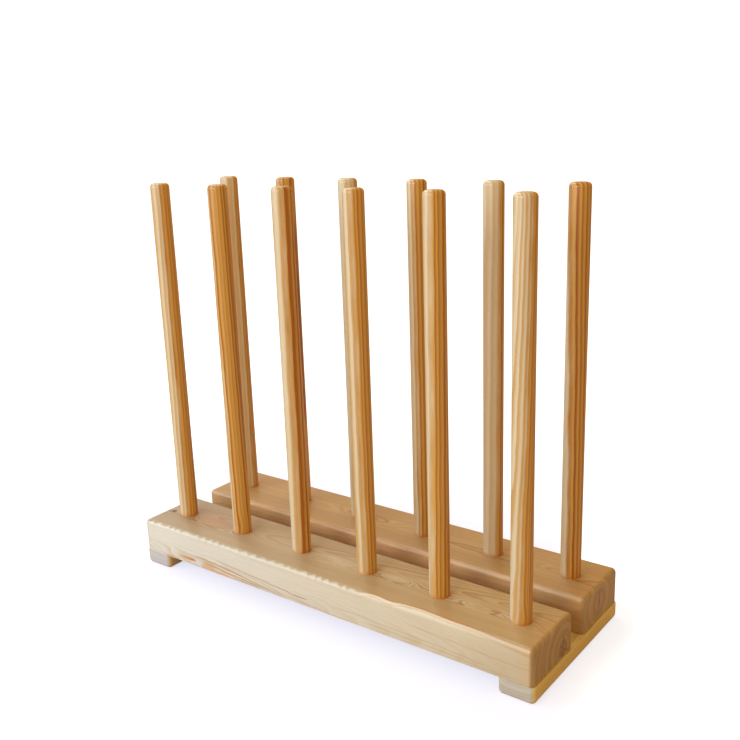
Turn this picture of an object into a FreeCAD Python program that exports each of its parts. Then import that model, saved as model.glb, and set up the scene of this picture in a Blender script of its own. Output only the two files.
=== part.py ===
import FreeCAD, Part
import os
import Sketcher

# Boot rack: two wooden beams side by side, held apart by a foot under each end. Six upright pegs
# stand glued in blind bores along each beam, and each foot is screwed to both beams from below.
# +X runs along the beams, +Y from the front beam to the rear one and +Z up. The origin is on the
# floor under the middle of the rack. All sizes are in millimetres.

SIZES = [
    ("beam_width", 97, "width of one beam"),
    ("beam_height", 46, "thickness of one beam"),
    ("beam_gap", 30, "open slot between the beams"),
    ("foot_width", 45, "width of one foot, along the beams"),
    ("foot_height", 21, "thickness of one foot"),
    ("foot_overhang", 1.5, "how far a foot stands out past the beams' ends"),
    ("edge_radius", 6, "rounding of the beams' upper edges and upright corners"),
    ("foot_edge_radius", 6, "rounding of the feet's lower edges and upright corners"),
    ("arris_radius", 1, "light easing of the edges where beams and feet meet"),
    ("peg_count", 6, "pegs on one beam"),
    ("peg_pitch", 107, "distance between neighbouring pegs"),
    ("end_margin", 40, "from the middle of the last peg to the beam's end"),
    ("peg_radius", 12.5, "radius of a peg above its beam"),
    ("peg_length", 500, "whole length of a peg"),
    ("peg_tip_radius", 5, "rounding of a peg's top"),
    ("seat_depth", 30, "depth of a peg's blind bore"),
    ("shoulder_width", 0.2, "how much a peg is thinned over its seat"),
    ("seat_chamfer", 1.5, "lead-in at a peg's lower end"),
    ("glue_gap", 0.1, "space for glue round a seated peg"),
    ("screw_length", 45, "whole length of a screw"),
    ("screw_radius", 2.25, "radius of a screw's shank, and of its thread over the crests"),
    ("screw_head_radius", 4.3, "radius of a screw's countersunk head"),
    ("screw_head_rim", 0.3, "height of the head's straight rim"),
    ("screw_point", 6, "length of a screw's point"),
    ("thread_turns", 9, "turns of the thread"),
    ("thread_pitch", 2.2, "distance between neighbouring turns"),
    ("thread_depth", 0.7, "depth of the thread"),
    ("thread_crest", 0.4, "width of a thread crest"),
    ("screw_recess", 1, "how far a head sits inside the foot's underside"),
    ("screw_spacing", 50, "distance between the two screws of one crossing"),
    ("shank_gap", 0.25, "play round a screw in the foot"),
    ("thread_gap", 0.05, "play round a screw in the beam, and under its head"),
    ("drive_arm", 2.1, "reach of the cross recess from the screw's axis"),
    ("drive_width", 0.9, "width of one arm of the cross recess"),
    ("drive_depth", 1.9, "depth of the cross recess"),
]

PEG_SPAN = "((Sizes.peg_count - 1) * Sizes.peg_pitch)"
RACK_LENGTH = "(" + PEG_SPAN + " + 2 * Sizes.end_margin)"
BEAM_TOP = "(Sizes.foot_height + Sizes.beam_height)"
BEAM_SPACING = "(Sizes.beam_width + Sizes.beam_gap)"
RACK_DEPTH = "(2 * Sizes.beam_width + Sizes.beam_gap)"
FOOT_SPACING = "(" + RACK_LENGTH + " + 2 * Sizes.foot_overhang - Sizes.foot_width)"
SEAT_RADIUS = "(Sizes.peg_radius - Sizes.shoulder_width)"
BORE_RADIUS = "(" + SEAT_RADIUS + " + Sizes.glue_gap)"
HEAD_CONE = "(Sizes.screw_head_radius - Sizes.screw_radius)"
HEAD_FLARE = "(Sizes.screw_head_radius + Sizes.screw_head_rim + Sizes.screw_recess + Sizes.thread_gap)"
THREAD_END = "(Sizes.screw_length - Sizes.screw_point)"
PILOT_DEPTH = "(Sizes.screw_recess + Sizes.screw_length - Sizes.foot_height + Sizes.arris_radius)"

# The numbers that a sketch gives to a line's two ends and a circle's centre.
START, END, CENTRE = range(1, 4)
CUTS = ("Pocket", "Hole", "Groove", "LinearPattern", "PolarPattern")
SMALLEST_CUT = 0.001
SAME_PLACE = 1e-6


def make_sheet(doc):
    """The driving dimensions, one row each: what it is, and its value under an alias."""
    sheet = doc.addObject("Spreadsheet::Sheet", "Sizes")
    for row, (alias, value, meaning) in enumerate(SIZES, start=1):
        sheet.set(f"A{row}", meaning)
        sheet.set(f"B{row}", str(value))
        sheet.setAlias(f"B{row}", alias)
    doc.recompute()
    return sheet


def make_body(doc, label, place):
    """An empty body whose place is bound to three expressions, one for each axis."""
    body = doc.addObject("PartDesign::Body", label)
    body.Label = label
    for axis, expression in zip("xyz", place):
        body.setExpression(f".Placement.Base.{axis}", expression)
    return body


def make_sketch(body, name, plane, lift="0"):
    """A sketch on one of the body's own origin planes, lifted from it by an expression."""
    sketch = body.newObject("Sketcher::SketchObject", name)
    planes = {feature.Role: feature for feature in body.Origin.OriginFeatures}
    sketch.AttachmentSupport = [(planes[plane], "")]
    sketch.MapMode = "FlatFace"
    sketch.setExpression(".AttachmentOffset.Base.z", lift)
    return sketch


def tie(sketch, kind, place, expression):
    """A constraint at a place, bound to an expression; a distance of "0" puts a point on an axis."""
    if expression == "0":
        axis = -2 if kind == "DistanceX" else -1  # the sketch's upright and its level axis
        sketch.addConstraint(Sketcher.Constraint("PointOnObject", *place, axis))
        return
    value = float(sketch.evalExpression(expression))
    index = sketch.addConstraint(Sketcher.Constraint(kind, *place, value))
    sketch.setExpression(f"Constraints[{index}]", expression)


def point_at(sketch, across, along):
    """The point that two expressions give now."""
    return FreeCAD.Vector(float(sketch.evalExpression(across)), float(sketch.evalExpression(along)))


def draw_outline(sketch, corners):
    """A closed outline of straight lines through the corners, given as pairs of expressions."""
    points = [point_at(sketch, *corner) for corner in corners]
    for point, following in zip(points, points[1:] + points[:1]):
        sketch.addGeometry(Part.LineSegment(point, following))
    for index, (across, along) in enumerate(corners):
        previous = (index - 1) % len(corners)
        sketch.addConstraint(Sketcher.Constraint("Coincident", previous, END, index, START))
        tie(sketch, "DistanceX", (index, START), across)
        tie(sketch, "DistanceY", (index, START), along)


def draw_rectangle(sketch, width, height):
    """A rectangle about the sketch's origin."""
    corners = [("-", "-"), ("", "-"), ("", ""), ("-", "")]
    draw_outline(sketch, [(f"{left}{width} / 2", f"{low}{height} / 2") for left, low in corners])


def draw_circle(sketch, across, along, radius):
    """A circle whose centre and radius are expressions."""
    size = float(sketch.evalExpression(radius))
    upright = FreeCAD.Vector(0, 0, 1)
    circle = sketch.addGeometry(Part.Circle(point_at(sketch, across, along), upright, size))
    tie(sketch, "DistanceX", (circle, CENTRE), across)
    tie(sketch, "DistanceY", (circle, CENTRE), along)
    tie(sketch, "Radius", (circle,), radius)


def add_feature(body, kind, name, sketch, length, upwards):
    """A pad or pocket of the sketch, whose length is an expression."""
    feature = body.newObject("PartDesign::" + kind, name)
    feature.Profile = sketch
    feature.setExpression("Length", length)
    feature.Reversed = upwards == (kind == "Pocket")
    body.Document.recompute()
    return feature


def ease_edges(body, kind, name, size_property, size, wanted):
    """A fillet or chamfer on each edge of the body for which wanted(edge) is true."""
    base = body.Tip
    names = [f"Edge{index}" for index, edge in enumerate(base.Shape.Edges, start=1) if wanted(edge)]
    feature = body.newObject("PartDesign::" + kind, name)
    feature.Base = (base, names)
    feature.setExpression(size_property, size)
    body.Document.recompute()
    return feature


def turn(body, kind, name, profile):
    """A revolution or groove of the profile about its upright axis."""
    feature = body.newObject("PartDesign::" + kind, name)
    feature.Profile = profile
    feature.ReferenceAxis = (profile, ["V_Axis"])
    body.Document.recompute()
    return feature


def repeat(body, name, cut, direction, span, count):
    """Equal copies of a cut over the span, along the line of its sketch that direction names."""
    pattern = body.newObject("PartDesign::LinearPattern", name)
    pattern.Originals = [cut]
    pattern.Direction = (cut.Profile[0], [direction])
    pattern.setExpression("Length", span)
    pattern.setExpression("Occurrences", count)
    body.Tip = pattern
    body.Document.recompute()
    return pattern


def is_level(edge, height):
    """Does the whole edge lie at this height of the body?"""
    box = edge.BoundBox
    return max(abs(box.ZMin - height), abs(box.ZMax - height)) < SAME_PLACE


def is_upright(edge):
    """Does the edge run straight up?"""
    return max(edge.BoundBox.XLength, edge.BoundBox.YLength) < SAME_PLACE


def make_beam(doc, sheet, label, side):
    """A rounded beam with a row of blind peg bores from above and screw bores from below."""
    body = make_body(doc, label, ("0", f"{side} * {BEAM_SPACING} / 2", "Sizes.foot_height"))
    outline = make_sketch(body, label + "_outline", "XY_Plane")
    draw_rectangle(outline, RACK_LENGTH, "Sizes.beam_width")
    add_feature(body, "Pad", label + "_block", outline, "Sizes.beam_height", upwards=True)
    top = sheet.beam_height
    ease_edges(body, "Fillet", label + "_rounding", "Radius", "Sizes.edge_radius",
               lambda edge: is_upright(edge) or is_level(edge, top))
    ease_edges(body, "Fillet", label + "_lower_arris", "Radius", "Sizes.arris_radius",
               lambda edge: is_level(edge, 0))

    seat = make_sketch(body, label + "_seat", "XY_Plane", "Sizes.beam_height")
    draw_circle(seat, f"-{PEG_SPAN} / 2", "0", BORE_RADIUS)
    bore = add_feature(body, "Pocket", label + "_bore", seat, "Sizes.seat_depth", upwards=False)
    repeat(body, label + "_bores", bore, "H_Axis", PEG_SPAN, "Sizes.peg_count")

    pilots = make_sketch(body, label + "_pilots", "XY_Plane")
    for sign in ("-", ""):
        draw_circle(pilots, f"-{FOOT_SPACING} / 2", f"{sign}Sizes.screw_spacing / 2",
                    "Sizes.screw_radius + Sizes.thread_gap")
    pilot = add_feature(body, "Pocket", label + "_pilot", pilots, PILOT_DEPTH, upwards=True)
    repeat(body, label + "_pilot_pairs", pilot, "H_Axis", FOOT_SPACING, "2")
    return body


def make_foot(doc, sheet, label, side):
    """A batten under both beams, flush with their sides and just past their ends, countersunk below."""
    body = make_body(doc, label, (f"{side} * {FOOT_SPACING} / 2", "0", "0"))
    outline = make_sketch(body, label + "_outline", "XY_Plane")
    draw_rectangle(outline, "Sizes.foot_width", RACK_DEPTH)
    add_feature(body, "Pad", label + "_block", outline, "Sizes.foot_height", upwards=True)
    top = sheet.foot_height
    ease_edges(body, "Fillet", label + "_rounding", "Radius", "Sizes.foot_edge_radius",
               lambda edge: is_upright(edge) or is_level(edge, 0))
    ease_edges(body, "Fillet", label + "_upper_arris", "Radius", "Sizes.arris_radius",
               lambda edge: is_level(edge, top))

    centres = make_sketch(body, label + "_screw_centres", "XY_Plane")
    for sign in ("-", "+"):
        draw_circle(centres, "0", f"-{BEAM_SPACING} / 2 {sign} Sizes.screw_spacing / 2",
                    "Sizes.screw_radius + Sizes.shank_gap")
    hole = body.newObject("PartDesign::Hole", label + "_screw_holes")
    hole.Profile = centres
    doc.recompute()
    hole.Threaded = False
    hole.DepthType = "ThroughAll"
    hole.HoleCutType = "Countersink"
    hole.HoleCutCustomValues = True
    hole.HoleCutCountersinkAngle = 90
    hole.Reversed = True
    hole.setExpression("Diameter", "2 * (Sizes.screw_radius + Sizes.shank_gap)")
    hole.setExpression("HoleCutDiameter", "2 * " + HEAD_FLARE)
    doc.recompute()
    repeat(body, label + "_screw_hole_pairs", hole, "V_Axis", BEAM_SPACING, "2")
    return body


def make_peg(doc, sheet, label, number, side):
    """A round peg with a softened top, thinned where it is glued into its bore."""
    place = (f"{number} * Sizes.peg_pitch - {PEG_SPAN} / 2", f"{side} * {BEAM_SPACING} / 2", BEAM_TOP)
    body = make_body(doc, label, place)
    section = make_sketch(body, label + "_section", "XY_Plane")
    draw_circle(section, "0", "0", "Sizes.peg_radius")
    add_feature(body, "Pad", label + "_post", section, "Sizes.peg_length - Sizes.seat_depth", upwards=True)
    seat = make_sketch(body, label + "_seat_section", "XY_Plane")
    draw_circle(seat, "0", "0", SEAT_RADIUS)
    add_feature(body, "Pad", label + "_seat", seat, "Sizes.seat_depth", upwards=False)
    bottom, top = -sheet.seat_depth, sheet.peg_length - sheet.seat_depth
    ease_edges(body, "Chamfer", label + "_lead_in", "Size", "Sizes.seat_chamfer",
               lambda edge: is_level(edge, bottom))
    ease_edges(body, "Fillet", label + "_tip", "Radius", "Sizes.peg_tip_radius",
               lambda edge: is_level(edge, top))
    return body


def make_screw(doc, label, foot_side, beam_side, screw_side):
    """A countersunk wood screw, point up, with a cross recess and a thread of level rings."""
    across = f"{foot_side} * {FOOT_SPACING} / 2"
    along = f"{beam_side} * {BEAM_SPACING} / 2 + {screw_side} * Sizes.screw_spacing / 2"
    body = make_body(doc, label, (across, along, "Sizes.screw_recess"))
    profile = make_sketch(body, label + "_profile", "XZ_Plane")
    draw_outline(profile, [
        ("0", "0"),
        ("Sizes.screw_head_radius", "0"),
        ("Sizes.screw_head_radius", "Sizes.screw_head_rim"),
        ("Sizes.screw_radius", "Sizes.screw_head_rim + " + HEAD_CONE),
        ("Sizes.screw_radius", THREAD_END),
        ("0", "Sizes.screw_length"),
    ])
    turn(body, "Revolution", label + "_blank", profile)
    notch = make_sketch(body, label + "_notch", "XZ_Plane")
    first_turn = f"{THREAD_END} - Sizes.thread_turns * Sizes.thread_pitch"
    draw_outline(notch, [
        ("Sizes.screw_radius", f"{first_turn} + Sizes.thread_crest"),
        ("Sizes.screw_radius", f"{first_turn} + Sizes.thread_pitch"),
        ("Sizes.screw_radius - Sizes.thread_depth",
         f"{first_turn} + (Sizes.thread_pitch + Sizes.thread_crest) / 2"),
    ])
    groove = turn(body, "Groove", label + "_groove", notch)
    thread_span = "(Sizes.thread_turns - 1) * Sizes.thread_pitch"
    repeat(body, label + "_thread", groove, "V_Axis", thread_span, "Sizes.thread_turns")

    arm = make_sketch(body, label + "_arm", "XY_Plane")
    draw_rectangle(arm, "(2 * Sizes.drive_arm)", "Sizes.drive_width")
    slot = add_feature(body, "Pocket", label + "_slot", arm, "Sizes.drive_depth", upwards=True)
    cross = body.newObject("PartDesign::PolarPattern", label + "_cross")
    cross.Originals = [slot]
    cross.Axis = (arm, ["N_Axis"])
    cross.Angle = 90
    cross.Occurrences = 2
    body.Tip = cross
    doc.recompute()
    return body


def check_document(doc, bodies):
    """Stop unless every object is sound, every cut removes material and every piece is one solid."""
    for item in doc.Objects:
        if {"Invalid", "Error"} & set(item.State):
            raise RuntimeError(f"{item.Name} failed: {item.State}")
        cuts = item.TypeId.partition("::")[2] in CUTS
        if cuts and not item.Shape.Volume < item.BaseFeature.Shape.Volume - SMALLEST_CUT:
            raise RuntimeError(f"{item.Name} cuts nothing")
    for body in bodies:
        shape = body.Shape
        if shape.isNull() or not shape.isValid() or len(shape.Solids) != 1:
            raise RuntimeError(f"{body.Label} isn't one sound solid")


def build():
    doc = FreeCAD.newDocument("boot_rack")
    sheet = make_sheet(doc)
    sides = {"front": -1, "rear": 1}
    ends = {"left": -1, "right": 1}
    bodies = [make_beam(doc, sheet, f"{row}_beam", side) for row, side in sides.items()]
    bodies += [make_foot(doc, sheet, f"{end}_foot", side) for end, side in ends.items()]
    for row, side in sides.items():
        for number in range(int(sheet.peg_count)):
            bodies.append(make_peg(doc, sheet, f"{row}_peg_{number + 1}", number, side))
    for end, foot_side in ends.items():
        for row, beam_side in sides.items():
            for number, screw_side in enumerate((-1, 1), start=1):
                label = f"{end}_{row}_screw_{number}"
                bodies.append(make_screw(doc, label, foot_side, beam_side, screw_side))
    doc.recompute()
    check_document(doc, bodies)
    return bodies


def export(bodies):
    os.makedirs("parts", exist_ok=True)
    for body in bodies:
        body.Shape.exportStep(f"parts/{body.Label}.step")
        print(body.Label, f"{body.Shape.Volume:.1f} mm3")


export(build())
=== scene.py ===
import math
from types import SimpleNamespace

import bmesh
import bpy
import numpy as np
from mathutils import Matrix, Vector


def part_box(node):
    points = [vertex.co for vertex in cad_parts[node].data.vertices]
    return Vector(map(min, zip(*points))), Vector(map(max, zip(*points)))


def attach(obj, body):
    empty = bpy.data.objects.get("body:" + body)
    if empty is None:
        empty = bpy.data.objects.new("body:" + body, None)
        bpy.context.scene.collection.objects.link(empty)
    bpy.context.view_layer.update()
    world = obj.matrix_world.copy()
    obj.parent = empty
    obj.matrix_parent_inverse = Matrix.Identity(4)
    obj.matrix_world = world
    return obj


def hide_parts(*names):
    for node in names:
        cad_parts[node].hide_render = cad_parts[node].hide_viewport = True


# Boot rack: two rounded softwood beams side by side on two feet, with six round pegs glued upright
# in each beam. +X runs along the beams, +Y from the front beam to the rear one and +Z up. Lengths
# are in metres, and the origin is on the floor under the middle of the rack.

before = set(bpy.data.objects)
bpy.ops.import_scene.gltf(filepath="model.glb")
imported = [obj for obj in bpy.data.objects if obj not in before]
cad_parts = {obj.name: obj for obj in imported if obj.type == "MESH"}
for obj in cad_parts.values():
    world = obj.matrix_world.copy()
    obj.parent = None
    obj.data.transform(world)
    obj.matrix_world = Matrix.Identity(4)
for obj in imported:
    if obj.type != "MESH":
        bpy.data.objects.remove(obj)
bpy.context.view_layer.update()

MM = 0.001

# Shapes that the frame's boxes don't give. EDGE rounds the upright corners, the beams' upper edges
# and the feet's lower ones, and ARRIS eases the edges where beams and feet meet. FLAT_MARGIN runs
# from a rounding to the bored part of a flat face, and up a peg to its first ring.
EDGE, ARRIS, FLAT_MARGIN = 6 * MM, 1 * MM, 1 * MM
BORE_RADIUS, BORE_DEPTH = 12.4 * MM, 30 * MM
SEAT_RADIUS, SEAT_CHAMFER, PEG_TIP = 12.3 * MM, 1.5 * MM, 5 * MM
SCREW_SPACING = 50 * MM
SCREW_HOLE, SCREW_FLARE = 2.5 * MM, 5.65 * MM
PILOT_RADIUS, PILOT_DEPTH = 2.3 * MM, 26 * MM

# How finely the surfaces are divided. A beam's steps run from bore to bore, a foot's from screw to
# screw. The cell of a pilot hole is as long as SCREW_STEPS of a beam's steps.
EDGE_STEPS, ARRIS_STEPS = 8, 3
BEAM_STEPS, BEAM_WIDTH_STEPS = (14, 16, 16, 16, 16, 14), (6, 6)
FOOT_STEPS, FOOT_WIDTH_STEPS = (6, 8, 8, 6), (8,)
SCREW_STEPS = 5
PEG_SIDES = 64
SEAM = 1e-6
CREASE = math.radians(30)

ROWS = ("front", "rear")
PEGS = range(1, 7)


# --- Surfaces -------------------------------------------------------------------------------------

def skin(rings):
    """Quads between neighbouring closed rings, an array of rings x points x 3."""
    index = np.arange(rings.shape[0] * rings.shape[1]).reshape(rings.shape[:2])
    ahead = np.roll(index, -1, axis=1)
    quads = np.stack([index[:-1], ahead[:-1], ahead[1:], index[1:]], axis=-1)
    return rings.reshape(-1, 3), quads.reshape(-1, 4)


def level(points, height):
    """Plan points lifted to a height."""
    return np.column_stack([points, np.full(len(points), height)])


def plain_patch(xs, ys, height):
    """A flat grid over xs and ys that faces down."""
    across, along = np.meshgrid(xs, ys)
    points = level(np.column_stack([across.ravel(), along.ravel()]), height)
    index = np.arange(len(points)).reshape(len(ys), len(xs))
    quads = np.stack([index[1:, :-1], index[1:, 1:], index[:-1, 1:], index[:-1, :-1]], axis=-1)
    return points, quads.reshape(-1, 4)


def cell_edge(xs, ys):
    """The points round a rectangular cell, anticlockwise from its front left corner."""
    return np.concatenate([
        np.column_stack([xs[:-1], np.full(len(xs) - 1, ys[0])]),
        np.column_stack([np.full(len(ys) - 1, xs[-1]), ys[:-1]]),
        np.column_stack([xs[:0:-1], np.full(len(xs) - 1, ys[-1])]),
        np.column_stack([np.full(len(ys) - 1, xs[0]), ys[:0:-1]]),
    ])


def bored_cell(xs, ys, centre, profile, top=None, bottom=None):
    """A cell with a round hole: rings from the cell's edge on the top face, down the hole's profile
    of (radius, height) pairs, and out to the cell's edge on the bottom face. A blind hole has one
    of the two faces, and its profile starts or ends at radius 0."""
    edge = cell_edge(xs, ys)
    bearing = np.arctan2(edge[:, 1] - centre[1], edge[:, 0] - centre[0])
    circle = np.column_stack([np.cos(bearing), np.sin(bearing)])
    rings = [level(centre + radius * circle, height) for radius, height in profile]
    if top is not None:
        rings.insert(0, level(edge, top))
    if bottom is not None:
        rings.append(level(edge, bottom))
    return skin(np.array(rings))


def stations(borders, steps):
    """Points along a side: each stretch between neighbouring borders is cut into equal steps."""
    runs = [np.linspace(low, high, count + 1)[:-1]
            for low, high, count in zip(borders, borders[1:], steps)]
    return np.concatenate(runs + [borders[-1:]])


def side_wall(xs, ys, profile):
    """The side of a rounded block, over two parameters: round its plan, and up its profile of
    (inset, height) pairs. The plan at an inset is the rectangle of xs and ys, pushed out by what is
    left of the corner radius, or drawn in by what the inset has more than that."""
    front = np.column_stack([xs, np.full(len(xs), ys[0])])
    right = np.column_stack([np.full(len(ys), xs[-1]), ys])
    fan = np.arange(1, EDGE_STEPS) / EDGE_STEPS
    core, quarter = [], []
    for turn, side in enumerate((front, right, -front, -right)):
        core += [side, np.repeat(side[-1:], len(fan), axis=0)]
        quarter += [np.full(len(side), turn, float), turn + fan]
    core, bearing = np.concatenate(core), (np.concatenate(quarter) - 1) * math.pi / 2
    outward = np.column_stack([np.cos(bearing), np.sin(bearing)])
    limit = np.array([xs[-1], ys[-1]])
    rings = []
    for inset, height in profile:
        inner = limit - max(inset - EDGE, 0)
        plan = np.clip(core, -inner, inner) + max(EDGE - inset, 0) * outward
        rings.append(level(plan, height))
    return skin(np.array(rings))


def quarter_round(radius, steps):
    """(inset, drop) pairs of a quarter circle, from the side face to the level one."""
    angle = np.linspace(0, math.pi / 2, steps + 1)
    return [(radius * (1 - math.cos(a)), radius * (1 - math.sin(a))) for a in angle]


def block_profile(low, high, low_radius, low_steps, high_radius, high_steps):
    """The (inset, height) pairs up a block's side, from its bottom face to its top face."""
    flat = EDGE + FLAT_MARGIN
    lower = [(inset, low + drop) for inset, drop in reversed(quarter_round(low_radius, low_steps))]
    upper = [(inset, high - drop) for inset, drop in quarter_round(high_radius, high_steps)]
    start = [(flat, low)] + ([(EDGE, low)] if low_radius < EDGE else [])
    end = ([(EDGE, high)] if high_radius < EDGE else []) + [(flat, high)]
    return start + lower + upper + end


def within(values):
    """The stations of a side, drawn in at its two ends to where the flat face's cells begin."""
    limit = values[-1] - FLAT_MARGIN
    return np.clip(values, -limit, limit)


def turned(profile, sides):
    """A turned shape: its profile of (radius, height) pairs, carried round the upright axis."""
    bearing = np.arange(sides) * 2 * math.pi / sides
    circle = np.column_stack([np.cos(bearing), np.sin(bearing)])
    return skin(np.array([level(radius * circle, height) for radius, height in profile]))


def make_piece(name, patches, place, node, finish):
    """One closed piece from its patches, moved to its place, riding on the rack's only body."""
    counts = np.cumsum([0] + [len(points) for points, _ in patches])
    points = np.concatenate([points for points, _ in patches]) + np.array(place)
    quads = np.concatenate([faces + start for (_, faces), start in zip(patches, counts)])
    mesh = bpy.data.meshes.new(name)
    mesh.from_pydata(points.tolist(), [], quads.tolist())
    shell = bmesh.new()
    shell.from_mesh(mesh)
    bmesh.ops.remove_doubles(shell, verts=shell.verts, dist=SEAM)
    for face in shell.faces:
        face.smooth = True
    for edge in shell.edges:
        edge.smooth = edge.calc_face_angle(0) < CREASE
    shell.to_mesh(mesh)
    shell.free()
    mesh.materials.append(finish)
    piece = bpy.data.objects.new(name, mesh)
    bpy.context.scene.collection.objects.link(piece)
    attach(piece, "root")
    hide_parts(node)


def middle_of(node):
    """The middle of a node's box."""
    low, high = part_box(node)
    return (low + high) / 2


# --- Shaders --------------------------------------------------------------------------------------

class Wire:
    """A value in a shader. Arithmetic on it adds Math nodes, so that a formula reads as one."""

    def __init__(self, finish, socket):
        self.finish, self.socket = finish, socket

    def __add__(self, other):
        return self.finish.math("ADD", self, other)

    def __radd__(self, other):
        return self.finish.math("ADD", other, self)

    def __sub__(self, other):
        return self.finish.math("SUBTRACT", self, other)

    def __rsub__(self, other):
        return self.finish.math("SUBTRACT", other, self)

    def __mul__(self, other):
        return self.finish.math("MULTIPLY", self, other)

    def __rmul__(self, other):
        return self.finish.math("MULTIPLY", other, self)

    def __truediv__(self, other):
        return self.finish.math("DIVIDE", self, other)


class Finish:
    """A material, or the world, being made. node() adds any node, the other methods usual ones."""

    def __init__(self, name, kept=bpy.data.materials, end="OutputMaterial"):
        self.made, self.end = kept.new(name), end
        self.made.use_nodes = True
        self.tree = self.made.node_tree
        self.tree.nodes.clear()

    def node(self, kind, settings, inputs, output=0):
        """A node of a type: its settings are set first, then its sockets get values or wires."""
        made = self.tree.nodes.new("ShaderNode" + kind)
        for key, value in settings.items():
            setattr(made, key, value)
        for key, value in inputs.items():
            if isinstance(value, Wire):
                self.tree.links.new(value.socket, made.inputs[key])
            else:
                made.inputs[key].default_value = value
        return Wire(self, made.outputs[output])

    def math(self, operation, *values):
        return self.node("Math", {"operation": operation}, dict(enumerate(values)))

    def vector_math(self, operation, first, second, output=0):
        return self.node("VectorMath", {"operation": operation}, {0: first, 1: second}, output)

    def vector(self, x, y, z):
        return self.node("CombineXYZ", {}, {0: x, 1: y, 2: z})

    def parts(self, vector):
        return [self.node("SeparateXYZ", {}, {0: vector}, axis) for axis in range(3)]

    def ramp(self, value, low, high):
        """0 up to low, 1 from high on, and smooth between them; low may be above high."""
        settings = {"interpolation_type": "SMOOTHSTEP"}
        if low > high:
            return 1 - self.ramp(value, high, low)
        return self.node("MapRange", settings, {0: value, 1: low, 2: high})

    def bell(self, value):
        """1 where the value is 0, and towards 0 beyond 1 on both sides."""
        return self.math("EXPONENT", value * value * -1.0)

    def hump(self, place, centre, size):
        """1 at a centre and towards 0 beyond a size on each axis, all in millimetres."""
        gap = self.vector_math("SUBTRACT", place, [value * MM for value in centre])
        gap = self.vector_math("DIVIDE", gap, [value * MM for value in size])
        return self.math("EXPONENT", self.vector_math("DOT_PRODUCT", gap, gap, "Value") * -1.0)

    def noise(self, vector, detail=2.0, roughness=0.5, output=0):
        inputs = {"Vector": vector, "Scale": 1.0, "Detail": detail, "Roughness": roughness}
        return self.node("TexNoise", {"noise_dimensions": "3D"}, inputs, output)

    def mix(self, share, first, second, blend="MIX"):
        settings = {"data_type": "RGBA", "blend_type": blend, "clamp_factor": True}
        return self.node("Mix", settings, {0: share, 6: first, 7: second}, 2)

    def done(self, surface):
        """Ends the material in one shader and gives it."""
        last = self.tree.nodes.new("ShaderNode" + self.end)
        self.tree.links.new(surface.socket, last.inputs["Surface"])
        return self.made


def tone(red, green, blue):
    """A display colour of 0 to 255 as the linear one that shaders take."""
    share = np.array([red, green, blue]) / 255
    linear = np.where(share <= 0.04045, share / 12.92, ((share + 0.055) / 1.055) ** 2.4)
    return (*map(float, linear), 1.0)


# --- Wood -----------------------------------------------------------------------------------------

# How long each pattern in the wood is along the grain, and how wide across it, in millimetres.
SLOW_WARP, QUICK_WARP, RAGGED = (75, 26), (17, 9), (60, 14)
CLOUD, STREAK, FIBRE, PORES = (95, 30), (110, 1.9), (16, 0.45), (40, 0.7)
DRIFT_LENGTH, UNEVEN_RINGS, END_BANDS = 230, 11, 4.5
# How far the quick warp and the ragged border go, how much the rings' widths vary in rings, and
# how strong the late wood of the faintest ring is.
QUICK_WOBBLE, RAGGED_REACH, UNEVENNESS, FAINTEST = 0.7, 8, 1.6, 0.35
BUMP_DEPTH = 0.25 * MM
# A beam's tone drifts from TONE_DRIFT left of the middle to TONE_DRIFT right of it; on the
# front beam the drift is partly painted light, cooler at the left and warmer at the right. Beams
# and feet are warmer over WARMER_LENGTH before their right or rear end.
TONE_DRIFT, WARMER_LENGTH, WARMER = 330, 18, (1.02, 0.95, 0.84, 1)
# The border on the bark's side of a beam: how it leans (back, up), how long a scallop is, and how
# far below the edge the scallops begin and are full. Then how long the noises in it are, and how
# thick the feathered one is.
BARK_LEAN, SCALLOP_LENGTH, SCALLOP_DROPS = (0.94, 0.34), 14.0, (25, 10)
WANDER, SMALL, DEEP, FEATHER, FEATHER_WIDTH = 42, 5, 26, 20, 1.1
# Where a beam's front and its top begin and are full, for the veins.
FRONT_SHOWN, TOP_SHOWN = (-106, -111), (60, 66)
SAP, HEART = ((222, 208, 180), (200, 178, 142)), ((204, 172, 124), (178, 136, 86))
# The pale rim along the front beam's upper front edge is sapwood and partly a painted highlight.
EDGE_RIM_AND_HIGHLIGHT, EDGE_LINE = (238, 228, 200), (202, 132, 70)
END_GRAIN, CRACK = ((191, 160, 110), (146, 106, 59)), (118, 62, 32)


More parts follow.
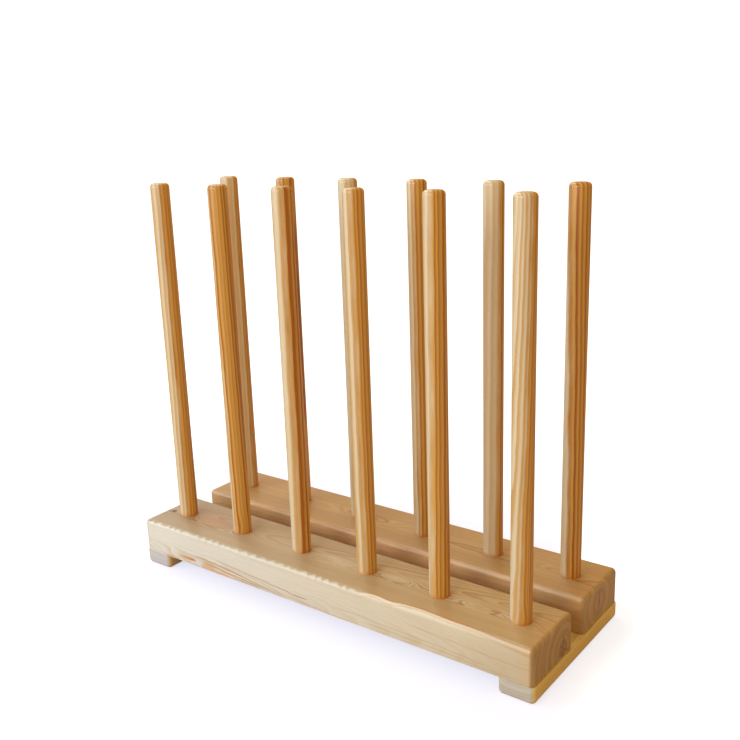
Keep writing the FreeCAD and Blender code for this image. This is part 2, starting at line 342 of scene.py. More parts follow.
def wood(name, pith, aim, *, seed, ring=3.2, crowd=480.0, sway=2.0, wobble=1.2, contrast=1.0,
         late_band=(0.30, 0.92, 0.95), swells=(), heart=None, bark_edge=None, sap_tones=SAP,
         heart_tones=HEART, drift_and_light_tones=None, tints=(), patches=(), veins=(), knots=(),
         blotch=0.07, ends=None, end_tones=END_GRAIN, arcs=(), star=(), gloss=0.42):
    """Softwood cut from a trunk. pith is a point of the trunk's middle line in the piece's own
    coordinates and aim the line's direction, both in millimetres. The distance from that line,
    warped by noise, counts the rings: distance / ring + distance squared / crowd. Each ring turns
    from pale early wood to dark late wood over the first two shares of late_band, and ends
    sharply after the last one.

    heart is the radius of the heartwood and half its blur; a beam with a bark_edge has that border
    in its place. swells are bulges of the rings, and veins, patches, tints and knots are marks on
    the faces, and some tints and patches are painted highlights and painted shade. The tones of
    sapwood and heartwood are (early, late) pairs, and drift_and_light_tones tint (sap, heart) at
    the left and at the right end, partly as painted light. ends says where the two cut faces are,
    which have arcs and a star of cracks."""
    finish = Finish(name)
    turn = Vector((1, 0, 0)).rotation_difference(Vector(aim).normalized()).to_euler()
    place = finish.node("TexCoord", {}, {}, "Object")
    trunk = finish.node("Mapping", {"vector_type": "TEXTURE"}, {
        "Vector": place, "Location": [value * MM for value in pith],
        "Rotation": turn, "Scale": (MM, MM, MM)})
    along, across, up = finish.parts(trunk)
    x, y, z = [part / MM for part in finish.parts(place)]

    drift = finish.noise(finish.vector(along / DRIFT_LENGTH + seed, seed, 0.5), 1.0, output=1)
    drift_y, drift_z, _ = finish.parts(drift)
    across = across + (drift_y - 0.5) * (2 * sway)
    up = up + (drift_z - 0.5) * (2 * sway)

    def pattern(size, start, detail, roughness=0.5):
        length, width = size
        spot = finish.vector(along / length + start, across / width, up / width)
        return finish.noise(spot, detail, roughness)

    slow, quick = pattern(SLOW_WARP, seed, 2.0), pattern(QUICK_WARP, seed, 1.0)
    radius = finish.math("SQRT", across * across + up * up)
    radius = radius + (slow - 0.5) * (2 * wobble) + (quick - 0.5) * QUICK_WOBBLE
    figure = 1.0
    for centre, size, lift, strengthened in swells:
        bulge = finish.hump(place, centre, size)
        radius = radius + bulge * lift
        figure = figure + bulge * strengthened

    uneven = finish.noise(finish.vector(radius / UNEVEN_RINGS, seed, 3.5), 2.0)
    count = radius / ring + radius * radius / crowd + (uneven - 0.5) * UNEVENNESS
    share = finish.math("FRACT", count)
    number = finish.math("FLOOR", count)
    strength = finish.node("TexWhiteNoise", {"noise_dimensions": "1D"}, {"W": number + seed})
    start, full, drop = late_band
    late = finish.ramp(share, start, full) * finish.ramp(share, 1.0, drop)
    late = late * (FAINTEST + (1 - FAINTEST) * strength) * contrast * figure

    ragged, fibre = pattern(RAGGED, seed, 3.0), pattern(FIBRE, 0, 2.0)
    # What the helpers below need of the places and patterns.
    cut = SimpleNamespace(place=place, x=x, y=y, z=z, across=across, up=up, radius=radius,
                          late=late, slow=slow, quick=quick, ragged=ragged, fibre=fibre)
    if bark_edge:
        inside, rim, line = bark_boundary(finish, cut, bark_edge, seed)
    else:
        heart_radius, blur = heart
        reach = radius + (ragged - 0.5) * RAGGED_REACH
        inside = finish.ramp(reach, heart_radius + blur, heart_radius - blur)
    sap, core = [finish.mix(late, tone(*early_tone), tone(*late_tone))
                 for early_tone, late_tone in (sap_tones, heart_tones)]
    # On the front beam this drift is partly painted light: cooler at the left, warmer at the right.
    if drift_and_light_tones:
        left, right = drift_and_light_tones
        sideways = finish.ramp(x, -TONE_DRIFT, TONE_DRIFT)
        sap = finish.mix(1.0, sap, finish.mix(sideways, left[0], right[0]), "MULTIPLY")
        core = finish.mix(1.0, core, finish.mix(sideways, left[1], right[1]), "MULTIPLY")
    colour = finish.mix(inside, sap, core)
    if bark_edge:
        # The pale rim along the upper front edge: sapwood, and partly a painted highlight.
        colour = finish.mix(rim * 0.65, colour, tone(*EDGE_RIM_AND_HIGHLIGHT))
        colour = finish.mix(line * 0.8, colour, tone(*EDGE_LINE))
    colour = marked(finish, cut, colour, tints, patches, veins)

    cloud, streak = pattern(CLOUD, seed, 2.0), pattern(STREAK, 0, 3.0, 0.6)
    shade = 1 + (cloud - 0.5) * (2 * blotch) + (streak - 0.5) * 0.16 + (fibre - 0.5) * 0.12
    colour = finish.mix(1.0, colour, finish.vector(shade, shade, shade), "MULTIPLY")
    for centre, size, knot_tone in knots:
        spot = finish.ramp(finish.hump(place, centre, size) + (fibre - 0.5) * 0.3, 0.25, 0.6)
        colour = finish.mix(spot * 0.85, colour, tone(*knot_tone))

    if ends:
        axis, first, last = ends
        toward = (x, y, z)[axis]
        warmer = finish.mix(1.0, colour, WARMER, "MULTIPLY")
        colour = finish.mix(finish.ramp(toward, first - WARMER_LENGTH, first), colour, warmer)
        face = end_grain(finish, cut, pattern(PORES, 0, 2.0, 0.7), seed, end_tones, arcs, star)
        shown = finish.ramp(finish.math("ABSOLUTE", toward), first, last)
        colour = finish.mix(shown, colour, face)

    relief = late * 0.5 + streak * 0.5 + fibre * 0.6
    bump = finish.node("Bump", {}, {"Strength": 0.3, "Distance": BUMP_DEPTH, "Height": relief})
    return finish.done(finish.node("BsdfPrincipled", {}, {
        "Base Color": colour, "Roughness": gloss - late * 0.08 + (fibre - 0.5) * 0.14,
        "Normal": bump, "Coat Weight": 0.35, "Coat Roughness": 0.15}))


def bark_boundary(finish, cut, bark_edge, seed):
    """Three masks of a beam whose bark lay in front: the heartwood, the pale rim of the sapwood
    next to it, which is also a painted highlight along the upper front edge, and thin dark rings
    where they meet and just outside. They follow the distance behind a slanting plane through the
    beam's upper front edge. Near that edge the plane is scalloped from a first to a last place
    along the beam, and each scallop falls more quickly than it rises. Beyond them it has long
    lenses, each a bell curve of a middle, a half length and a depth."""
    (edge_y, edge_z), (first, last), depth, lenses = bark_edge
    begun, full = [edge_z - drop for drop in SCALLOP_DROPS]
    x, y, z = cut.x, cut.y, cut.z
    wander = finish.noise(finish.vector(x / WANDER, seed, 7.5), 2.0)
    small = finish.noise(finish.vector(x / SMALL, seed, 2.5), 2.0)
    deep = finish.noise(finish.vector(x / DEEP, seed, 9.5), 1.0)
    feather = finish.vector(x / FEATHER, y / FEATHER_WIDTH, z / FEATHER_WIDTH)
    feather = finish.noise(feather, 2.0)
    share = finish.math("FRACT", x / SCALLOP_LENGTH + wander * 3.0 + small * 0.2)
    tooth = finish.ramp(share, 0.0, 0.64) * finish.ramp(share, 1.0, 0.64)
    scalloped = finish.ramp(x, first - 20, first) * finish.ramp(x, last + 25, last - 25)
    scalloped = scalloped * finish.ramp(z, begun, full)
    deep = finish.ramp(deep, 0.3, 0.7) + 0.2
    shift = (0.5 - tooth) * depth * deep + (small - 0.5) * 0.8 + (feather - 0.5) * 3.5
    shift = shift * scalloped + (wander - 0.5) * 2.6 + (feather - 0.5) * 1.2
    lens = 0.0
    for middle, length, height in lenses:
        lens = lens + finish.bell((x - middle) / length) * height
    behind = (y - edge_y) * BARK_LEAN[0] + (z - edge_z) * BARK_LEAN[1] + shift - lens
    inside = finish.ramp(behind / (1 + scalloped * 1.4) - scalloped * 0.5, -0.9, 0.8)

    straight = finish.ramp(x, last - 10, last + 30)
    # The rim: pale sapwood, and partly a painted highlight along the upper front edge.
    rim = finish.ramp(behind / (lens * 0.6 + 1.0), -1.8, -0.9) * finish.ramp(behind, 0.5, -0.5)
    rim = rim * finish.ramp(x, 300, 215) * (0.10 + straight * 0.90)
    line = finish.ramp(behind, -0.9, 0.1) * finish.ramp(behind, 2.0, 0.9) * straight
    lower = finish.ramp(behind, -4.6, -4.0) * finish.ramp(behind, -3.0, -3.6) * straight
    return inside, rim, finish.math("MAXIMUM", line, lower * 0.5)


def marked(finish, cut, colour, tints, patches, veins):
    """The colour with a beam's marks, tinted first: soft tints, patches with a ragged edge, and
    veins, which are thin lines that waver with the grain on the front or the top. Some tints and
    patches are painted highlights and painted shade."""
    for centre, size, amount, mark_tone in tints:
        cover = finish.hump(cut.place, centre, size) * amount * (1 - cut.late * 0.75)
        colour = finish.mix(cover, colour, tone(*mark_tone))
    for centre, size, amount, mark_tone in patches:
        spot = finish.hump(cut.place, centre, size) + (cut.ragged - 0.5) * 0.5
        spot = finish.ramp(spot, 0.26, 0.62) * (1 - cut.late * 0.4)
        colour = finish.mix(spot * amount, colour, tone(*mark_tone))
    sides = {"front": (cut.z, finish.ramp(cut.y, *FRONT_SHOWN)),
             "top": (cut.y, finish.ramp(cut.z, *TOP_SHOWN))}
    for side, (x1, start), (x2, end), width, amount, mark_tone in veins:
        value, shown = sides[side]
        off = value - start - (cut.x - x1) * ((end - start) / (x2 - x1))
        off = (off + (cut.quick - 0.5) * 2.0 + (cut.slow - 0.5) * 4.0) / width
        trace = finish.bell(off) * finish.ramp(cut.x, x1 - 10, x1 + 10)
        trace = trace * finish.ramp(cut.x, x2 + 20, x2 - 20) * shown
        colour = finish.mix(trace * amount, colour, tone(*mark_tone))
    return colour


def end_grain(finish, cut, pores, seed, tones, arcs, star):
    """The colour of a cut end: rings and slow bands round the pith, arcs that are rings of a
    distance, half width, amount and tone, and the cracks of a star, each of a bearing from the
    pith, a length and a half width."""
    bands = finish.noise(finish.vector(cut.radius / END_BANDS, seed, 6.5), 2.0, 0.6)
    rings = 0.5 + (cut.late - 0.4) * 0.55 + (bands - 0.5) * 1.5
    face = finish.mix(rings + (pores - 0.5) * 0.6, tone(*tones[0]), tone(*tones[1]))
    for distance, width, amount, arc_tone in arcs:
        band = finish.bell((cut.radius - distance) / width) * (0.4 + bands * 0.9)
        face = finish.mix(band * amount, face, tone(*arc_tone))
    for bearing, length, width in star:
        cosine, sine = math.cos(bearing), math.sin(bearing)
        run = cut.across * cosine + cut.up * sine
        off = cut.up * cosine - cut.across * sine + (pores - 0.5) * 2.0
        crack = finish.ramp(finish.math("ABSOLUTE", off), width, 0.0)
        crack = crack * finish.ramp(run, -1.0, 0.5) * finish.ramp(run, length, length * 0.7)
        face = finish.mix(crack * 0.85, face, tone(*CRACK))
    return face


def zinc(name):
    """Bright zinc-plated steel with fine turning marks and a faint yellow cast."""
    finish = Finish(name)
    place = finish.node("TexCoord", {}, {}, "Object")
    x, y, z = finish.parts(place)
    cloud = finish.noise(finish.vector(x * 700, y * 700, z * 300), 3.0)
    lines = finish.noise(finish.vector(x * 60, y * 60, z * 9000), 1.0)
    colour = finish.mix(cloud, tone(176, 178, 176), tone(206, 202, 186))
    bump = finish.node("Bump", {}, {"Strength": 0.2, "Distance": 0.05 * MM, "Height": lines})
    return finish.done(finish.node("BsdfPrincipled", {}, {
        "Base Color": colour, "Metallic": 1.0, "Roughness": 0.26 + cloud * 0.18, "Normal": bump}))


# --- Marks on the beams ---------------------------------------------------------------------------

# All in millimetres: the levels of a beam's top and of the front beam's front, and how far a mark
# there goes in.
TOP, TOP_DEPTH = 67, 12
FRONT, FRONT_DEPTH = -112, 14


def on_top(x, y, length, width):
    """The centre and half sizes of a mark on a beam's top."""
    return (x, y, TOP), (length, width, TOP_DEPTH)


def on_front(x, z, length, height):
    """The centre and half sizes of a mark on the front beam's front."""
    return (x, FRONT, z), (length, FRONT_DEPTH, height)


# Each mark has a centre and half sizes first. A swell then has how far it lifts the rings and how
# much it strengthens the late wood, a tint or a patch its amount and tone, and a knot its tone.
PALE, PINK, DUSK = (226, 210, 180), (196, 144, 112), (182, 138, 110)
FLAME_AND_EDGE_SHADE, UMBER, GLOW = (220, 146, 82), (168, 102, 58), (228, 166, 112)
VEIN, AMBER, RING, CREAM = (178, 134, 84), (198, 130, 66), (196, 134, 72), (200, 182, 140)

FRONT_SWELLS = [
    (*on_top(-210, -66, 34, 8), 11.0, 0.7),
    (*on_top(-12, -66, 18, 6), 12.0, 0.3),
    (*on_top(18, -60, 22, 6), 10.0, 0.3),
    (*on_top(96, -60, 24, 6), 9.0, 0.2),
    (*on_top(214, -62, 34, 7), 9.0, 0.4),
    (*on_front(-222, 24, 90, 12), 6.0, 0.3),
    (*on_front(120, 40, 200, 26), 0.0, -0.35),
]
FRONT_TINTS = [
    (*on_top(-212, -66, 42, 11), 0.75, PINK),
    (*on_top(-200, -54, 90, 16), 0.4, DUSK),
    (*on_top(4, -62, 34, 9), 0.6, PALE),
    (*on_top(92, -59, 26, 7), 0.5, PALE),
    (*on_top(190, -62, 26, 9), 0.5, PALE),
    (*on_top(250, -62, 22, 7), 0.4, PALE),
    (*on_top(-120, -80, 150, 24), 0.2, PALE),
    (*on_front(292, 44, 55, 40), 0.45, (186, 166, 134)),
    # Painted shade on the rounded upper front edge, so that it is no brighter than the faces beside
    # it.
    ((-150, -109.6, 65.5), (190, 4.6, 5.5), 0.6, (192, 187, 163)),
    (*on_top(-190, -100, 150, 9), 0.15, PALE),
    # Painted shade on the rounded upper front edge near the right end.
    ((300, -110.6, 65.6), (60, 3.2, 3.2), 0.5, (204, 184, 150)),
]
FRONT_PATCHES = [
    (*on_front(-223, 29, 19, 2.4), 0.9, FLAME_AND_EDGE_SHADE),
    (*on_front(-184, 25.5, 13, 5.2), 0.7, GLOW),
    (*on_front(-162, 23, 24, 2.8), 0.75, GLOW),
    (*on_front(-18, 31, 14, 0.9), 0.7, UMBER),
    (*on_front(-219, 29.5, 14, 1.0), 0.9, UMBER),
    # Painted shade: two thin warm lines along the front beam's bottom front edge.
    (*on_front(-95, 20.4, 150, 1.2), 0.8, FLAME_AND_EDGE_SHADE),
    (*on_front(130, 20.4, 120, 1.0), 0.65, FLAME_AND_EDGE_SHADE),
    (*on_front(-255, 23.5, 18, 1.2), 0.7, FLAME_AND_EDGE_SHADE),
]
# Side, where the vein starts and ends (along the beam, then up or back), half width, amount, tone.
FRONT_VEINS = [
    ("front", (-205, 36), (-120, 31), 0.8, 0.85, VEIN),
    ("front", (-150, 34), (-60, 24), 0.8, 0.85, VEIN),
    ("front", (-193, 30), (-84, 25), 0.8, 0.85, VEIN),
    ("front", (-162, 40), (-26, 32), 0.8, 0.7, VEIN),
    ("front", (-190, 33), (-110, 22), 0.8, 0.6, FLAME_AND_EDGE_SHADE),
    ("front", (-60, 27), (60, 22), 0.8, 0.4, VEIN),
    ("front", (40, 36), (250, 30), 0.9, 0.3, VEIN),
    ("front", (90, 29), (290, 25), 0.9, 0.3, VEIN),
    ("front", (150, 46), (300, 42), 0.9, 0.3, VEIN),
    ("top", (270, -54), (312, -72), 0.9, 0.8, AMBER),
    ("top", (280, -64), (312, -79), 0.8, 0.8, AMBER),
    ("top", (262, -70), (310, -86), 0.7, 0.5, AMBER),
]
FRONT_KNOTS = [
    ((-293, -69, 67), (4.4, 3.6, 8), (70, 48, 36)),
    ((236, -63, 67), (7.0, 3.0, 8), (186, 130, 76)),
]
FRONT_LENSES = [(98, 17, 3.5), (158, 34, 6.5), (222, 44, 3.5)]
FRONT_ARCS = [
    (50, 2.8, 0.35, RING), (40, 3.0, 0.4, (202, 184, 140)), (34, 1.8, 0.35, (160, 114, 68)),
    (27, 2.8, 0.4, CREAM), (21, 1.6, 0.35, (156, 110, 66)), (13, 2.2, 0.3, (196, 174, 130)),
]
FRONT_STAR = [(1.5, 20, 2.0), (2.4, 9, 1.3), (3.75, 16, 1.5), (5.7, 19, 1.7), (4.7, 13, 2.0)]

REAR_SWELLS = [
    (*on_top(250, 62, 34, 8), 6.0, 0.4),
    (*on_top(-40, 66, 50, 8), 7.0, 0.3),
    ((0, 12, 44), (400, 16, 40), 0.0, -0.65),
]
REAR_TINTS = [
    # A painted highlight: a thin pale line along the rear beam's upper front edge.
    ((190, 16.4, 65.6), (130, 2.2, 2.2), 0.5, (246, 230, 202)),
    ((0, 14, 46), (300, 8, 20), 0.55, (230, 170, 122)),
]
REAR_VEINS = [
    ("top", (262, 81), (310, 72), 0.9, 0.8, AMBER),
    ("top", (278, 59), (312, 60), 0.9, 0.8, AMBER),
    ("top", (250, 88), (308, 83), 0.8, 0.5, AMBER),
]
REAR_ARCS = [(31, 2.8, 0.3, RING), (23, 2.8, 0.25, (198, 176, 132)), (15, 2.0, 0.2, (158, 112, 68))]
REAR_STAR = [(1.5, 15, 2.0), (4.6, 13, 1.8)]

# The cut faces: the axis that they lie across, and where they begin and are full.
BEAM_ENDS = (0, 301, 305.5)
FOOT_ENDS = (1, 109.6, 111.8)


# --- Beams ----------------------------------------------------------------------------------------

def make_beam(row, finish):
    """A rounded beam with its six blind peg bores above and its screw pilots below."""
    node = f"{row}_beam"
    low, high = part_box(node)
    middle, half = (low + high) / 2, (high - low) / 2
    bores = [middle_of(f"{row}_peg_{number}").x - middle.x for number in PEGS]
    flat_x, flat_y = half.x - EDGE, half.y - EDGE
    borders = [-flat_x, *[(a + b) / 2 for a, b in zip(bores, bores[1:])], flat_x]
    xs = stations(np.array(borders), BEAM_STEPS)
    ys = stations(np.array([-flat_y, 0, flat_y]), BEAM_WIDTH_STEPS)
    profile = block_profile(low.z, high.z, ARRIS, ARRIS_STEPS, EDGE, EDGE_STEPS)
    patches = [side_wall(xs, ys, profile)]

    xs, ys = within(xs), within(ys)
    bottom = high.z - BORE_DEPTH
    bore = [(BORE_RADIUS, high.z), (BORE_RADIUS, bottom), (0, bottom)]
    marks = np.cumsum([0, *BEAM_STEPS])
    for start, end, centre in zip(marks, marks[1:], bores):
        patches.append(bored_cell(xs[start:end + 1], ys, (centre, 0), bore, top=high.z))

    roof = low.z + PILOT_DEPTH
    pilot = [(0, roof), (PILOT_RADIUS, roof), (PILOT_RADIUS, low.z)]
    screw_x, screw_y = middle_of("right_foot").x, SCREW_SPACING / 2
    left_end, right_end = SCREW_STEPS, len(xs) - 1 - SCREW_STEPS
    split = BEAM_WIDTH_STEPS[0]
    for columns, x in ((slice(0, left_end + 1), -screw_x), (slice(right_end, None), screw_x)):
        for lines, y in ((slice(0, split + 1), -screw_y), (slice(split, None), screw_y)):
            patches.append(bored_cell(xs[columns], ys[lines], (x, y), pilot, bottom=low.z))
    patches.append(plain_patch(xs[left_end:right_end + 1], ys, low.z))
    place = (middle.x, middle.y, 0)
    make_piece(f"{row}_beam_wood", patches, place, node, finish)


make_beam("front", wood(
    "front_beam_larch", (0, -52, 22), (600, 22, 22), seed=1.7, crowd=300.0, wobble=0.7,
    swells=FRONT_SWELLS, bark_edge=((-110.4, 65.4), (-285, 72), 4.6, FRONT_LENSES),
    sap_tones=((234, 227, 207), (222, 206, 172)), heart_tones=((212, 182, 136), (176, 138, 92)),
    drift_and_light_tones=(((0.93, 0.995, 1.17, 1), (0.75, 0.84, 1.08, 1)),
                 ((0.873, 0.817, 0.72, 1), (0.91, 0.91, 0.80, 1))),
    tints=FRONT_TINTS, patches=FRONT_PATCHES, veins=FRONT_VEINS, knots=FRONT_KNOTS,
    ends=BEAM_ENDS, arcs=FRONT_ARCS, star=FRONT_STAR))
make_beam("rear", wood(
    "rear_beam_larch", (0, 62, 43), (600, -8, 4), seed=5.2, crowd=320.0, wobble=0.8,
    swells=REAR_SWELLS, heart=(90, 8), heart_tones=((196, 162, 112), (170, 126, 76)),
    tints=REAR_TINTS, veins=REAR_VEINS, ends=BEAM_ENDS, arcs=REAR_ARCS, star=REAR_STAR))


# --- Feet -----------------------------------------------------------------------------------------

def make_foot(end, finish):
    """A batten with rounded lower edges and four countersunk screw holes."""
    node = f"{end}_foot"
    low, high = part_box(node)
    middle, half = (low + high) / 2, (high - low) / 2
    front, rear = [middle_of(f"{row}_beam").y for row in ROWS]
    screws = [beam + side * SCREW_SPACING / 2 for beam in (front, rear) for side in (-1, 1)]
    flat_x, flat_y = half.x - EDGE, half.y - EDGE
    xs = stations(np.array([-flat_x, flat_x]), FOOT_WIDTH_STEPS)
    ys = stations(np.array([-flat_y, front, 0, rear, flat_y]), FOOT_STEPS)
    profile = block_profile(low.z, high.z, EDGE, EDGE_STEPS, ARRIS, ARRIS_STEPS)
    patches = [side_wall(xs, ys, profile)]

    xs, ys = within(xs), within(ys)
    hole = [(SCREW_HOLE, high.z), (SCREW_HOLE, low.z + SCREW_FLARE - SCREW_HOLE),
            (SCREW_FLARE, low.z)]
    marks = np.cumsum([0, *FOOT_STEPS])
    for start, stop, centre in zip(marks, marks[1:], screws):
        patches.append(bored_cell(xs, ys[start:stop + 1], (0, centre), hole, high.z, low.z))
    make_piece(f"{node}_wood", patches, (middle.x, middle.y, 0), node, finish)


FOOT_GRAIN = dict(ring=3.0, crowd=900.0, heart=(40, 6), contrast=0.9, ends=FOOT_ENDS)
make_foot("left", wood(
    "left_foot_pine", (-285, 0, 92), (0, 600, 6), seed=8.4,
    # The left foot's cut ends are a cooler grey than the right one's: partly painted cool light.
    sap_tones=((228, 196, 140), (200, 160, 104)), end_tones=((208, 210, 214), (180, 178, 176)),
    **FOOT_GRAIN))
make_foot("right", wood(
    "right_foot_pine", (285, 0, 92), (0, 600, 6), seed=3.1,
    sap_tones=((234, 208, 130), (206, 170, 92)), end_tones=((208, 202, 190), (180, 170, 152)),
    **FOOT_GRAIN))


# --- Pegs -----------------------------------------------------------------------------------------

def make_peg(row, number, finish):
    """A turned peg: chamfered seat, shoulder, straight post and softened tip."""
    node = f"{row}_peg_{number}"
    low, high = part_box(node)
    middle = (low + high) / 2
    radius = high.x - middle.x
    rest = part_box(f"{row}_beam")[1].z
    tip = [(radius - inset, high.z - drop) for inset, drop in quarter_round(PEG_TIP, EDGE_STEPS)]
    profile = [(0, low.z), (SEAT_RADIUS - SEAT_CHAMFER, low.z), (SEAT_RADIUS, low.z + SEAT_CHAMFER),
               (SEAT_RADIUS, rest), (radius, rest), (radius, rest + FLAT_MARGIN), *tip, (0, high.z)]
    patches = [turned(profile, PEG_SIDES)]
    make_piece(f"{node}_wood", patches, (middle.x, middle.y, 0), node, finish)


# Each peg's bearing and distance of its trunk's middle line, its ring width, the radius where its
# heartwood ends, and its tilt. Every bearing points to the peg's right rear, away from the light,
# so the darker heartwood on that side is partly painted shade.
PEG_GRAIN = {
    "front": [(40, 30, 5.0, 33, 3), (20, 26, 4.4, 32, -5), (50, 40, 9.0, 45, 2),
              (34, 36, 5.6, 38, -3), (25, 30, 5.4, 38, 4), (44, 26, 3.6, 34.5, 14)],
    "rear": [(70, 28, 5.6, 30, 4), (10, 34, 5.2, 38, -4), (60, 36, 6.4, 36, 3),
             (30, 40, 5.6, 44, -2), (50, 30, 6.2, 32, 5), (30, 34, 5.4, 40, -6)],
}
# Bulges of the rings on a peg's front right. SWELL_SIDE leads there from its middle line, and
# ACROSS runs across. Each bulge is (across, height), (half width, half height), lift.
PEG_SWELLS = {("front", 2): ((4, 80), (7, 14), 3.0), ("front", 6): ((4, 74), (6, 20), 3.0)}
SWELL_SIDE, ACROSS = (7.5, -10), (0.8, 0.6)
# Painted shade and warm reflection: a dark orange band where a peg meets its beam. Its tone,
# height and half sizes.
PEG_FOOT_SHADE, PEG_FOOT_SHADE_HEIGHT, PEG_FOOT_SHADE_SIZE = (196, 116, 36), 66, (60, 60, 4.2)
SEEDS_APART, REAR_SEEDS = 3.7, 31


def peg_wood(row, number, turn, distance, ring, heart_radius, tilt):
    """The wood of one peg, whose trunk's middle line stands beside it."""
    centre = middle_of(f"{row}_peg_{number}") / MM
    bearing = math.radians(turn)
    pith = (centre.x + distance * math.cos(bearing), centre.y + distance * math.sin(bearing), TOP)
    swells = []
    if (row, number) in PEG_SWELLS:
        (across, height), (width, length), lift = PEG_SWELLS[row, number]
        spot = (centre.x + SWELL_SIDE[0] + across * ACROSS[0],
                centre.y + SWELL_SIDE[1] + across * ACROSS[1], height)
        swells = [(spot, (width, width, length), lift, 0.0)]
    # A dark orange band at the peg's foot: painted shade where it meets the beam.
    rim = ((centre.x, centre.y, PEG_FOOT_SHADE_HEIGHT), PEG_FOOT_SHADE_SIZE, 0.85, PEG_FOOT_SHADE)
    return wood(
        f"{row}_peg_{number}_pine", pith, (tilt, tilt * 0.6, 600), ring=ring, crowd=6000.0,
        seed=number * SEEDS_APART + (0 if row == "front" else REAR_SEEDS), sway=1.2, wobble=1.3,
        contrast=1.2, late_band=(0.15, 0.72, 0.86), swells=swells, heart=(heart_radius, 3),
        sap_tones=((220, 205, 172), (206, 163, 102)), heart_tones=((213, 162, 74), (168, 98, 26)),
        tints=[rim], blotch=0.05, gloss=0.36)


for row in ROWS:
    for number, grain in zip(PEGS, PEG_GRAIN[row]):
        make_peg(row, number, peg_wood(row, number, *grain))


# --- Screws ---------------------------------------------------------------------------------------

screw_finish = zinc("zinc_plated_screw")
for name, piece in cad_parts.items():
    if "screw" in name:
        for place in piece.material_slots:
            place.material = screw_finish


# --- Floor, light and camera ----------------------------------------------------------------------

FLOOR_REACH = 12.0
WHITE = (1, 1, 1, 1)
# The floor's soft shadow: half the rack's length and width, and how far out from them the shadow
# begins to fade and ends.
RACK_HALF = (0.31, 0.11)
SHADE_START, SHADE_END = 0.03, 0.34
NEAR_COOL, NEAR_WARM = (0.64, 0.645, 0.75, 1), (0.68, 0.71, 0.76, 1)
SEEN_MATT, BOUNCE = (0.45, 0.46, 0.45, 1), (0.55, 0.47, 0.38, 1)

floor_mesh = bpy.data.meshes.new("floor")
corners = [(-1, -1, 0), (1, -1, 0), (1, 1, 0), (-1, 1, 0)]
floor_mesh.from_pydata([Vector(c) * FLOOR_REACH for c in corners], [], [(0, 1, 2, 3)])
floor = bpy.data.objects.new("floor", floor_mesh)
bpy.context.scene.collection.objects.link(floor)

# The floor is a glowing white sheet with soft shadows, cool in front of the rack and warm beside
# it. What it sends back to the rack is weaker, as from a matt floor.
paper = Finish("floor_paper")
across, along, _ = paper.parts(paper.node("TexCoord", {}, {}, "Object"))
beside = paper.ramp(across + along * 0.35, 0.24, 0.34)
gap_x, gap_y = [paper.math("MAXIMUM", paper.math("ABSOLUTE", value) - half, 0.0)
                for value, half in zip((across, along), RACK_HALF)]
away = (gap_x * gap_x + gap_y * gap_y) * (1 + beside * 30)
away = paper.ramp(away, SHADE_START ** 2, SHADE_END ** 2)
glow_tone = paper.mix(away, paper.mix(beside, NEAR_COOL, NEAR_WARM), WHITE)
glow = paper.node("Emission", {}, {"Color": glow_tone, "Strength": 1.0})
matt = paper.node("BsdfDiffuse", {}, {"Color": SEEN_MATT})
seen_floor = paper.node("AddShader", {}, {0: glow, 1: matt})
bounce = paper.node("BsdfDiffuse", {}, {"Color": BOUNCE})
direct = paper.node("LightPath", {}, {}, "Is Camera Ray")
sheet = paper.node("MixShader", {}, {0: direct, 1: bounce, 2: seen_floor})
floor_mesh.materials.append(paper.done(sheet))

# The studio round the rack: white to the camera, and to the rack cool daylight from the front left
# and the top, and weaker warm light from the other side.
WINDOW = (-0.76, -0.64, 0.10)
COOL_SIDE, WARM_SIDE = (0.60, 0.65, 0.72, 1), (0.66, 0.41, 0.15, 1)

studio = Finish("studio", bpy.data.worlds, "OutputWorld")
toward = studio.parts(studio.node("TexCoord", {}, {}, "Generated"))
window = toward[0] * WINDOW[0] + toward[1] * WINDOW[1] + toward[2] * WINDOW[2]
room = studio.mix(studio.ramp(window, -0.35, 0.85), WARM_SIDE, COOL_SIDE)
fill = studio.node("Background", {}, {"Color": room, "Strength": 1.0})
white = studio.node("Background", {}, {"Color": WHITE, "Strength": 1.1})
direct = studio.node("LightPath", {}, {}, "Is Camera Ray")
sky = studio.node("MixShader", {}, {0: direct, 1: fill, 2: white})
bpy.context.scene.world = studio.done(sky)


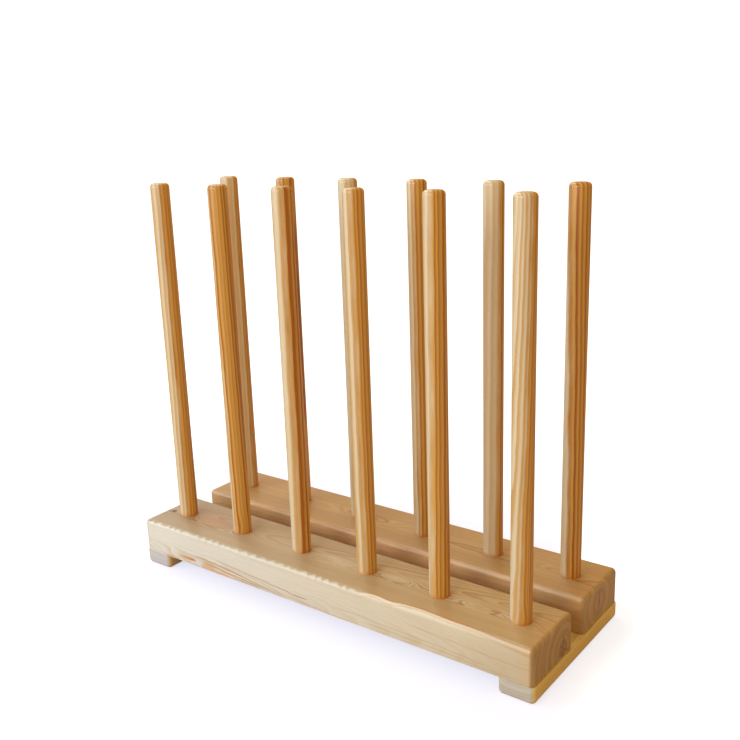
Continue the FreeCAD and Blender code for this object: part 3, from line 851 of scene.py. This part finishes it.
def area_light(name, position, target, size, power, colour):
    """A square soft light that faces its target."""
    lamp = bpy.data.lights.new(name, "AREA")
    lamp.shape, lamp.size, lamp.energy, lamp.color = "SQUARE", size, power, colour
    light = bpy.data.objects.new(name, lamp)
    light.location = position
    light.rotation_euler = (Vector(target) - Vector(position)).to_track_quat("-Z", "Y").to_euler()
    bpy.context.scene.collection.objects.link(light)


DAYLIGHT, LAMPLIGHT = (0.88, 0.95, 1.0), (1.0, 0.97, 0.92)
area_light("window", (-2.1, -1.9, 1.3), (0, 0, 0.2), 1.5, 26, DAYLIGHT)
area_light("front", (-0.2, -3.0, 1.5), (0, 0, 0.2), 1.5, 38, LAMPLIGHT)
area_light("ceiling", (-1.1, 0.7, 1.9), (0, 0, 0), 1.2, 11, LAMPLIGHT)

# The camera: where it stands, the three directions of its picture, and its focal length.
AZIMUTH, ELEVATION, ROLL = (math.radians(value) for value in (37.1232, 15.3859, 1.9771))
TARGET, DISTANCE = Vector((-0.4326988, 0.5988784, 0.1)), 1.9447441
SENSOR, PICTURE_WIDTH, FOCAL_PIXELS = 36.0, 740, 931.8737

lens = bpy.data.cameras.new("camera")
lens.sensor_width, lens.sensor_fit = SENSOR, "HORIZONTAL"
lens.lens = FOCAL_PIXELS / PICTURE_WIDTH * SENSOR
lens.clip_start, lens.clip_end = 0.05, 60
camera = bpy.data.objects.new("camera", lens)
back = Vector((math.sin(AZIMUTH) * math.cos(ELEVATION), -math.cos(AZIMUTH) * math.cos(ELEVATION),
               math.sin(ELEVATION)))
right = Vector((0, 0, 1)).cross(back).normalized()
up = back.cross(right)
rolled_right = right * math.cos(ROLL) - up * math.sin(ROLL)
rolled_up = up * math.cos(ROLL) + right * math.sin(ROLL)
axes = Matrix((rolled_right, rolled_up, back)).transposed().to_4x4()
camera.matrix_world = Matrix.Translation(TARGET + back * DISTANCE) @ axes
bpy.context.scene.collection.objects.link(camera)
bpy.context.scene.camera = camera
bpy.context.scene.view_settings.view_transform = "Standard"
